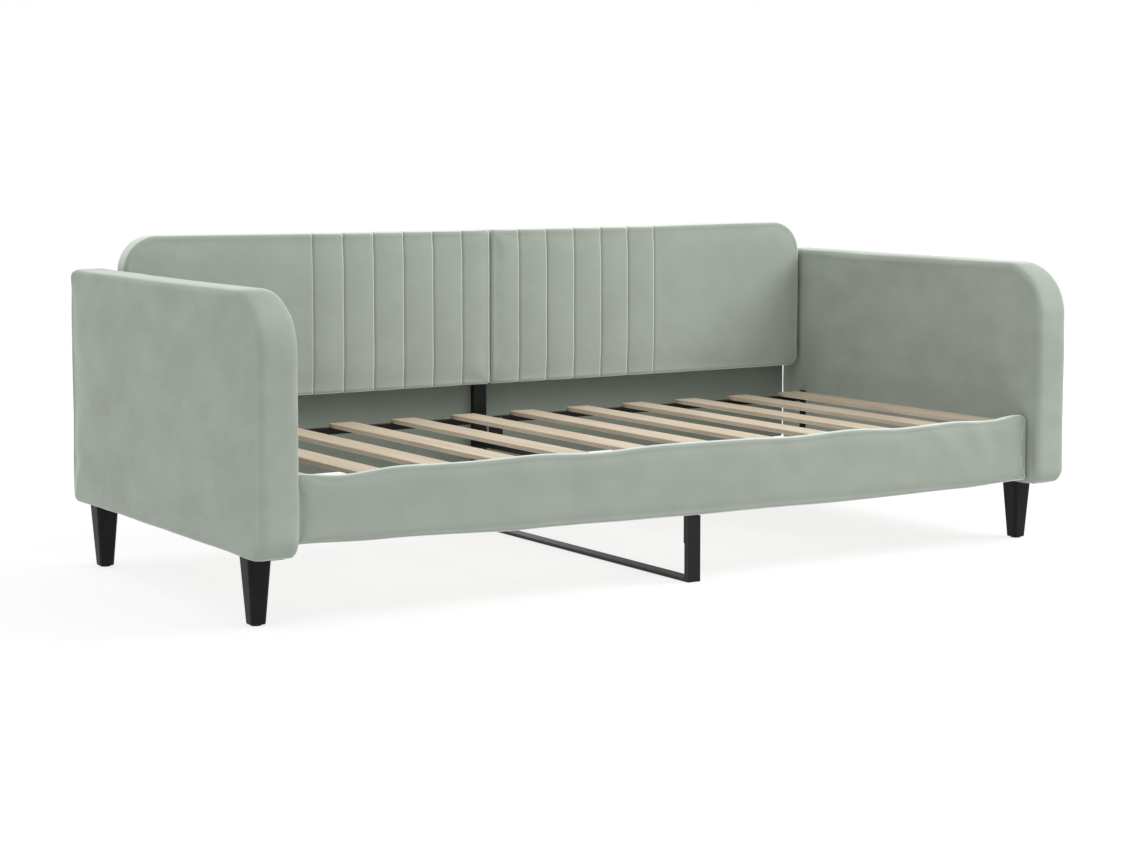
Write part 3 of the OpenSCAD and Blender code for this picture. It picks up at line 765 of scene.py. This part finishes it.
def finish_padded(
    cover: bpy.types.Object, finish: Finish, nodes: Sequence[str]
) -> bpy.types.Object:
    """Gives a cover its material and its place in the frame.

    Args:
        cover: the cover's object.
        finish: its finish.
        nodes: the frame's soft nodes that it stands for.

    Returns:
        The same object.
    """
    smooth = cover.modifiers.new("smooth", "SUBSURF")
    smooth.levels = smooth.render_levels = 1
    cover.data.materials.append(finish.material())
    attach(cover, "root")
    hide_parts(*nodes)
    return cover


# ---------- the daybed's soft pieces ----------


@dataclass
class Arm:
    """A padded arm: a board frame in foam under one tight velvet cover.

    Attributes:
        side: which arm.
        finish: the velvet.
        corners: radius at the low front, high front, high back and low back.
        rim: rounding along its edges.
        cell: about how wide a face of the mesh is.
        inset: how far the two faces start inside their final place, as they swell out to it.
        under: how far the cover's underside lies above that of the arm.
        swell: the furthest that the foam pushes the cover out.
        bulge: how far the inner face may swell over the mattress.
        bulge_low: heights where that starts and is full.
        bulge_high: heights where it is still full and has ended.
        soft_edge: radius of the two top edges at the front, halved at the rear.
        soft_below: how far below the top that radius starts and is full.
        soft_ahead: how far in front of the rear it starts to shrink and is at its smallest.
        pucker: how far from the outline the small puckers reach.
    """

    side: Side
    finish: Finish = ARM_VELVET
    corners: tuple[float, float, float, float] = (38 * MM, 132 * MM, 24 * MM, 26 * MM)
    rim: float = 14 * MM
    cell: float = 13 * MM
    inset: float = 4 * MM
    under: float = 0.5 * MM
    swell: float = 8 * MM
    bulge: float = 4 * MM
    bulge_low: tuple[float, float] = (0.41, 0.46)
    bulge_high: tuple[float, float] = (0.66, 0.71)
    soft_edge: float = 30 * MM
    soft_below: tuple[float, float] = (0.13, 0.03)
    soft_ahead: tuple[float, float] = (0.4, 0.03)
    pucker: float = 0.09

    def build(self) -> bpy.types.Object:
        """Makes the arm's cover.

        Returns:
            The cover.
        """
        low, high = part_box(f"arm_cover_{self.side.word}")
        outer = max(abs(low.x), abs(high.x))
        inner = min(abs(low.x), abs(high.x))
        edge = self.inset / 2
        underside = low.z + self.under
        shell = PaddedShell(
            length=high.y - low.y - 2 * edge, height=high.z - low.z - edge - self.under,
            thickness=outer - inner - 2 * self.inset, corners=self.corners, rim=self.rim,
            cell=self.cell,
        ).build()
        place = Matrix.Translation((outer - self.inset, low.y + edge, underside))
        quarter_turn = Matrix.Rotation(math.pi / 2, 4, "Z")
        bmesh.ops.transform(shell, matrix=place @ quarter_turn, verts=shell.verts)
        if self.side is Side.LEFT:
            bmesh.ops.scale(shell, vec=(-1, 1, 1), verts=shell.verts)
        cover = as_object(shell, f"arm_pad_{self.side.word}")
        Stuffing(swell=self.swell).fill(cover, lambda p: p.z < underside + 2 * MM)
        waves = Ripple(depth=1.3 * MM, size=(0.20, 0.20, 0.16), seed=3.0 * self.side.value)
        waves.apply(cover)
        puckers = Ripple(depth=0.7 * MM, size=(0.06, 0.06, 0.07), seed=9.0 * self.side.value)
        puckers.apply(
            cover, lambda p: 1 - smooth_step(0.0, self.pucker, self._from_edge(p, low, high)))
        for vertex in cover.data.vertices:
            point = vertex.co
            point.x = max(abs(point.x), inner - self._bulge_at(point.z)) * self.side.value
            self._soften(point, low, high)
            point.z = max(point.z, underside)
        cover.data.update()
        return finish_padded(
            cover, self.finish, [f"arm_cover_{self.side.word}", f"arm_foam_{self.side.word}"])

    def _bulge_at(self, height: float) -> float:
        """How far the inner face may stand proud at a height."""
        return (
            self.bulge * smooth_step(*self.bulge_low, height)
            * smooth_step(*reversed(self.bulge_high), height)
        )

    def _soften(self, point: Vector, low: Vector, high: Vector) -> None:
        """Moves a point of the two top edges onto a rounder edge, as soft foam leaves it.

        Args:
            point: the point, which is changed.
            low: the arm's lowest corner.
            high: the arm's highest corner.
        """
        start, full = (high.z - below for below in self.soft_below)
        reach = self.soft_edge * smooth_step(start, full, point.z)
        start, full = (high.y - ahead for ahead in self.soft_ahead)
        reach *= 1 - 0.5 * smooth_step(start, full, point.y)
        corner = self.corners[1]
        middle = (low.x + high.x) / 2
        spoke = Vector((0, min(point.y - low.y - corner, 0.0), max(point.z - high.z + corner, 0.0)))
        sideways = reach - ((high.x - low.x) / 2 - abs(point.x - middle))
        upwards = reach - (corner - spoke.length)
        if sideways <= 0 or upwards <= 0 or math.hypot(sideways, upwards) <= reach:
            return
        spare = 1 - reach / math.hypot(sideways, upwards)
        point.x -= math.copysign(sideways * spare, point.x - middle)
        point -= spoke.normalized() * upwards * spare

    @staticmethod
    def _from_edge(point: Vector, low: Vector, high: Vector) -> float:
        """Distance from a point to the nearest edge of the arm's outline."""
        return min(point.y - low.y, high.y - point.y, point.z - low.z, high.z - point.z)


@dataclass(frozen=True)
class PullMark:
    """A slanted fold that runs down from the top edge of a loose cover.

    Attributes:
        start: its place along X at the top edge.
        lean: how far along X it moves for each metre down.
        width: about half its width.
        depth: how far it stands out at the top edge.
    """

    start: float
    lean: float
    width: float
    depth: float


@dataclass
class FrontRail:
    """The padded board between the arms. Its cover is loose: the lower edge hangs lower in the
    middle than at the ends, the top edge waves, and slanted folds run down from it near the ends.

    Attributes:
        finish: the velvet.
        corners: radius at the low left, high left, high right and low right.
        rim: rounding along its edges.
        cell: about how wide a face of the mesh is.
        inset: how far the face, the top and the underside start inside their final place.
        swell: the furthest that the foam pushes the cover out.
        lower: (place along X, lift of the lower edge).
        upper: (place along X, lift of the upper edge).
        turn: how far below the middle the lift of the lower edge starts.
        folds: the slanted folds.
        fold_reach: how far below the top edge they have ended and are still full.
    """

    finish: Finish = RAIL_VELVET
    corners: tuple[float, float, float, float] = (8 * MM, 20 * MM, 20 * MM, 8 * MM)
    rim: float = 8 * MM
    cell: float = 11 * MM
    inset: float = 2 * MM
    swell: float = 4 * MM
    lower: tuple[tuple[float, float], ...] = (
        (-1.018, 0.022), (-0.80, 0.016), (-0.45, 0.006), (0.06, 0.0), (0.50, -0.003), (0.80, 0.0),
        (1.018, 0.007),
    )
    upper: tuple[tuple[float, float], ...] = (
        (-1.018, 0.004), (-0.90, -0.005), (-0.76, 0.004), (-0.60, 0.001), (-0.42, 0.004),
        (-0.26, -0.002), (-0.08, 0.004), (0.14, 0.002), (0.28, -0.002), (0.46, 0.003),
        (0.62, -0.003), (0.78, 0.002), (0.90, -0.002), (0.985, 0.006),
    )
    turn: float = 30 * MM
    folds: tuple[PullMark, ...] = (
        PullMark(0.70, 0.9, 0.035, 3.0 * MM), PullMark(0.83, 0.5, 0.028, 4.2 * MM),
        PullMark(0.93, 0.2, 0.030, 3.0 * MM), PullMark(-0.90, -0.7, 0.035, 2.6 * MM),
        PullMark(-0.70, -1.1, 0.040, 2.4 * MM), PullMark(-0.52, -0.6, 0.050, 1.4 * MM),
    )
    fold_reach: tuple[float, float] = (0.15, 0.02)

    def build(self) -> bpy.types.Object:
        """Makes the rail's cover.

        Returns:
            The cover.
        """
        low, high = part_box("front_rail_cover")
        shell = PaddedShell(
            length=high.x - low.x, height=high.z - low.z - self.inset,
            thickness=high.y - low.y - self.inset,
            corners=self.corners, rim=self.rim, cell=self.cell,
        ).build()
        bmesh.ops.translate(
            shell, vec=(low.x, low.y + self.inset, low.z + self.inset / 2), verts=shell.verts)
        cover = as_object(shell, "front_rail_pad")
        Stuffing(swell=self.swell, pressure=3.0).fill(cover, lambda p: p.y > high.y - MM)
        waves = Ripple(depth=1.2 * MM, size=(0.16, 0.2, 0.12), seed=5.0)
        waves.apply(cover, lambda p: 1 - smooth_step(low.y, high.y, p.y))
        middle = (low.z + high.z) / 2
        for vertex in cover.data.vertices:
            point = vertex.co
            point.z += along(self.lower, point.x) * smooth_step(middle - self.turn, low.z, point.z)
            point.z += along(self.upper, point.x) * smooth_step(middle, high.z - 10 * MM, point.z)
            point.y -= self._fold(point, high) * (1 - smooth_step(low.y, high.y, point.y))
            point.y = min(point.y, high.y)
        cover.data.update()
        return finish_padded(cover, self.finish, ["front_rail_cover", "front_rail_foam"])

    def _fold(self, point: Vector, high: Vector) -> float:
        """How far the slanted folds stand out at a point."""
        below = high.z - point.z
        depth = 0.0
        for mark in self.folds:
            off = point.x - (mark.start + mark.lean * below)
            depth += mark.depth * math.exp(-(off / mark.width) ** 2)
        return depth * smooth_step(*self.fold_reach, below)


@dataclass
class BackHalf:
    """One half of the backrest: a padded board with six sewn channels next to the middle.

    Attributes:
        side: which half.
        finish: the velvet.
        corners: radius at the low middle, high middle, high end and low end.
        rim: rounding along its edges.
        cell: about how wide a face of the mesh is.
        inset: how far the face, the top and the underside start inside their final place.
        swell: the furthest that the foam pushes the cover out.
        channel: width of a channel.
        channels: how many there are.
        tuck: depth of a sewn line.
        lap: width of the rounded fold on each side of it.
        puff: how far a channel stands out at its middle.
        fade: how far in front of the rear, and how far behind the face, the channels have ended
            and are full.
        lift: how far the top edge rises towards the arms.
        lift_across: distances from the middle where that starts and is full.
        lift_up: heights where it starts and is full.
    """

    side: Side
    finish: Finish = BACK_VELVET
    corners: tuple[float, float, float, float] = (11 * MM, 11 * MM, 85 * MM, 28 * MM)
    rim: float = 9.5 * MM
    cell: float = 12 * MM
    inset: float = 3 * MM
    swell: float = 4 * MM
    channel: float = 85.6 * MM
    channels: int = 6
    tuck: float = 6 * MM
    lap: float = 7 * MM
    puff: float = 5 * MM
    fade: tuple[float, float] = (20 * MM, 12 * MM)
    lift: float = 4 * MM
    lift_across: tuple[float, float] = (0.3, 0.95)
    lift_up: tuple[float, float] = (0.6, 0.75)

    def build(self) -> bpy.types.Object:
        """Makes the half's cover.

        Returns:
            The cover.
        """
        low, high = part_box(f"back_cover_{self.side.word}")
        inner = min(abs(low.x), abs(high.x))
        shell = PaddedShell(
            length=high.x - low.x, height=high.z - low.z - self.inset,
            thickness=high.y - low.y - self.inset, corners=self.corners, rim=self.rim,
            cell=self.cell,
            seams=tuple(self.channel * number - inner for number in range(1, self.channels + 1)),
        ).build()
        bmesh.ops.translate(
            shell, vec=(inner, low.y + self.inset, low.z + self.inset / 2), verts=shell.verts)
        if self.side is Side.LEFT:
            bmesh.ops.scale(shell, vec=(-1, 1, 1), verts=shell.verts)
        cover = as_object(shell, f"back_pad_{self.side.word}")
        Stuffing(swell=self.swell).fill(cover, lambda p: p.y > high.y - MM)
        Ripple(depth=0.8 * MM, size=(0.22, 0.2, 0.2), seed=7.0 * self.side.value).apply(cover)
        for vertex in cover.data.vertices:
            point = vertex.co
            point.y += self._channel_depth(point, low, high)
            across = smooth_step(*self.lift_across, abs(point.x))
            point.z += self.lift * across * smooth_step(*self.lift_up, point.z)
            point.y = min(point.y, high.y)
            if abs(point.x) < inner:
                point.x = inner * self.side.value
        cover.data.update()
        return finish_padded(
            cover, self.finish, [f"back_cover_{self.side.word}", f"back_foam_{self.side.word}"])

    def _channel_depth(self, point: Vector, low: Vector, high: Vector) -> float:
        """How far the face is drawn in at a point by the sewn lines."""
        place = abs(point.x) / self.channel
        if place > self.channels + 0.5:
            return 0.0
        from_face = smooth_step(high.y - self.fade[0], low.y + self.fade[1], point.y)
        gap = min(abs(place - seam) for seam in range(1, self.channels + 1)) * self.channel
        short = max(1 - gap / self.lap, 0.0)
        crease = self.tuck * (1 - math.sqrt(1 - short ** 2))
        across = min(place, self.channels) % 1.0
        return from_face * (crease - self.puff * 4 * across * (1 - across))


@dataclass
class RearPanel:
    """The thin covered board behind and below the backrest.

    Attributes:
        finish: the velvet, a darker copy as painted shade.
        corner: radius of its four corners.
        rim: rounding along its edges.
        cell: about how wide a face of the mesh is.
    """

    finish: Finish = SHADED_REAR_VELVET
    corner: float = 6 * MM
    rim: float = 4.5 * MM
    cell: float = 20 * MM

    def build(self) -> bpy.types.Object:
        """Makes the panel's cover.

        Returns:
            The cover.
        """
        low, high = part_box("rear_panel_cover")
        shell = PaddedShell(
            length=high.x - low.x, height=high.z - low.z, thickness=high.y - low.y,
            corners=(self.corner,) * 4, rim=self.rim, cell=self.cell,
        ).build()
        bmesh.ops.translate(shell, vec=low, verts=shell.verts)
        cover = as_object(shell, "rear_panel_pad")
        Ripple(depth=0.6 * MM, size=(0.25, 0.2, 0.2), seed=11.0).apply(cover)
        return finish_padded(cover, self.finish, ["rear_panel_cover"])


@dataclass
class Slats:
    """The plywood slats, with eased edges.

    Attributes:
        count: how many there are.
        ease: width of the rounding along their edges.
        proud: how far the filler over the screws stands above their heads.
    """

    count: int = 12
    ease: float = 1.2 * MM
    proud: float = 0.3 * MM

    def build(self) -> list[bpy.types.Object]:
        """Makes the slats; their screws are filled over.

        Returns:
            The slats, left to right.
        """
        made = []
        for number in range(1, self.count + 1):
            node = f"slat_{number:02d}"
            low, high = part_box(node)
            size = high - low + Vector((0, 0, self.proud))
            board = bmesh.new()
            bmesh.ops.create_cube(board, size=1.0)
            bmesh.ops.scale(board, vec=size, verts=board.verts)
            bmesh.ops.translate(board, vec=low + size / 2, verts=board.verts)
            bmesh.ops.bevel(
                board, geom=board.edges[:], offset=self.ease, affect="EDGES", segments=2,
                profile=0.5, material=-1,
            )
            slat = as_object(board, f"slat_board_{number:02d}")
            slat.data.polygons.foreach_set("use_smooth", [False] * len(slat.data.polygons))
            slat.data.materials.append(SLAT_WOOD.material())
            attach(slat, "root")
            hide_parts(node)
            made.append(slat)
        return made


@dataclass
class HardPieces:
    """The pieces that keep the frame's own solids.

    Attributes:
        nodes: each node's name and its object.
        slots: each node's name and its material slot.
    """

    nodes: dict[str, bpy.types.Object]
    slots: dict[str, str]

    def dress(self) -> None:
        """Gives each solid the finish of its slot; a soft one has none, as it is replaced."""
        for name, piece in self.nodes.items():
            finish = HARD_FINISHES.get(self.slots[name])
            if finish is None:
                continue
            piece.data.materials.clear()
            piece.data.materials.append(finish.material())
            LOG.info("%s: %s", name, finish.name)


# ---------- studio ----------


@dataclass
class Studio:
    """A pale floor, soft light and the camera.

    Attributes:
        floor_colour: the floor, sRGB hex.
        floor_glow: light that the floor gives off itself, as a lit table does.
        floor_size: width of the floor.
        horizon: strength of the white surroundings at eye level.
        zenith: their strength straight above.
        key_power: power of the soft light ahead of the right arm, in watts.
        key_place: where it hangs.
        key_target: the point that it faces.
        key_size: its width.
        camera_place: where the camera stands.
        camera_heading: how far it is turned from +Y towards +X, in degrees.
        camera_dip: how far it looks down, in degrees.
        lens: focal length, in millimetres on a 36 mm wide sensor.
        shift: upward shift of the lens, as a share of the picture's width.
    """

    floor_colour: str = "808080"
    floor_glow: float = 0.72
    floor_size: float = 400.0
    horizon: float = 0.9
    zenith: float = 1.35
    key_power: float = 145.0
    key_place: tuple[float, float, float] = (3.7, -2.2, 3.2)
    key_target: tuple[float, float, float] = (0.0, 0.0, 0.4)
    key_size: float = 2.5
    camera_place: tuple[float, float, float] = (-3.2146, -5.0281, 1.0170)
    camera_heading: float = 32.306
    camera_dip: float = 4.588
    lens: float = 77.2
    shift: float = -0.08

    def build(self) -> None:
        """Makes the whole studio."""
        self._world()
        self._floor()
        self._key_light()
        self._camera()
        bpy.context.scene.view_settings.view_transform = "Standard"

    def _world(self) -> None:
        """Makes surroundings that light from all round, brighter above, and that show white."""
        world = bpy.data.worlds.new("studio")
        world.use_nodes = True
        tree = world.node_tree
        upward = add_node(tree, "ShaderNodeTexCoord").outputs["Generated"]
        height = add_node(tree, "ShaderNodeSeparateXYZ", links={"Vector": upward}).outputs["Z"]
        strength = add_node(
            tree, "ShaderNodeMapRange", props={"interpolation_type": "SMOOTHSTEP"},
            values={
                "From Min": 0.1, "From Max": 0.9, "To Min": self.horizon, "To Max": self.zenith,
            },
            links={"Value": height},
        ).outputs["Result"]
        tree.nodes["Background"].inputs["Color"].default_value = linear_rgba("ffffff")
        seen = add_node(tree, "ShaderNodeLightPath").outputs["Is Camera Ray"]
        shown = add_node(
            tree, "ShaderNodeMath", props={"operation": "MAXIMUM"}, links={0: seen, 1: strength},
        ).outputs[0]
        tree.links.new(shown, tree.nodes["Background"].inputs["Strength"])
        bpy.context.scene.world = world

    def _floor(self) -> None:
        """Makes the floor."""
        plane = bmesh.new()
        bmesh.ops.create_grid(plane, x_segments=1, y_segments=1, size=self.floor_size / 2)
        floor = as_object(plane, "studio_floor")
        paint = Finish("floor_pale", self.floor_colour, 1.0).material()
        shader = paint.node_tree.nodes["Principled BSDF"]
        shader.inputs["Emission Color"].default_value = linear_rgba("ffffff")
        shader.inputs["Emission Strength"].default_value = self.floor_glow
        floor.data.materials.append(paint)

    def _key_light(self) -> None:
        """Makes the square soft light."""
        lamp = bpy.data.lights.new("front_key", "AREA")
        lamp.size = self.key_size
        lamp.energy = self.key_power
        made = bpy.data.objects.new("front_key", lamp)
        made.location = self.key_place
        aim = Vector(self.key_target) - Vector(self.key_place)
        made.rotation_euler = aim.to_track_quat("-Z", "Y").to_euler()
        bpy.context.scene.collection.objects.link(made)

    def _camera(self) -> None:
        """Makes the camera, everything in focus."""
        lens = bpy.data.cameras.new("camera")
        lens.sensor_width = 36.0
        lens.lens = self.lens
        lens.shift_y = self.shift
        lens.clip_end = self.floor_size
        made = bpy.data.objects.new("camera", lens)
        made.location = self.camera_place
        made.rotation_euler = (
            math.radians(90 - self.camera_dip), 0.0, -math.radians(self.camera_heading))
        bpy.context.scene.collection.objects.link(made)
        bpy.context.scene.camera = made


def main() -> None:
    """Builds the studio and every piece of the daybed, and reports each piece."""
    logging.basicConfig(level=logging.INFO, format="%(name)s: %(message)s")
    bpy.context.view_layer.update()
    Studio().build()
    slots = {part["node"]: part["material_slot"] for part in frame["record"]["subparts"]}
    HardPieces(frame["nodes"], slots).dress()
    made = [piece for side in Side for piece in (Arm(side).build(), BackHalf(side).build())]
    made += [FrontRail().build(), RearPanel().build(), *Slats().build()]
    for piece in made:
        LOG.info("%s: %d points", piece.name, len(piece.data.vertices))


if __name__ == "__main__":
    main()
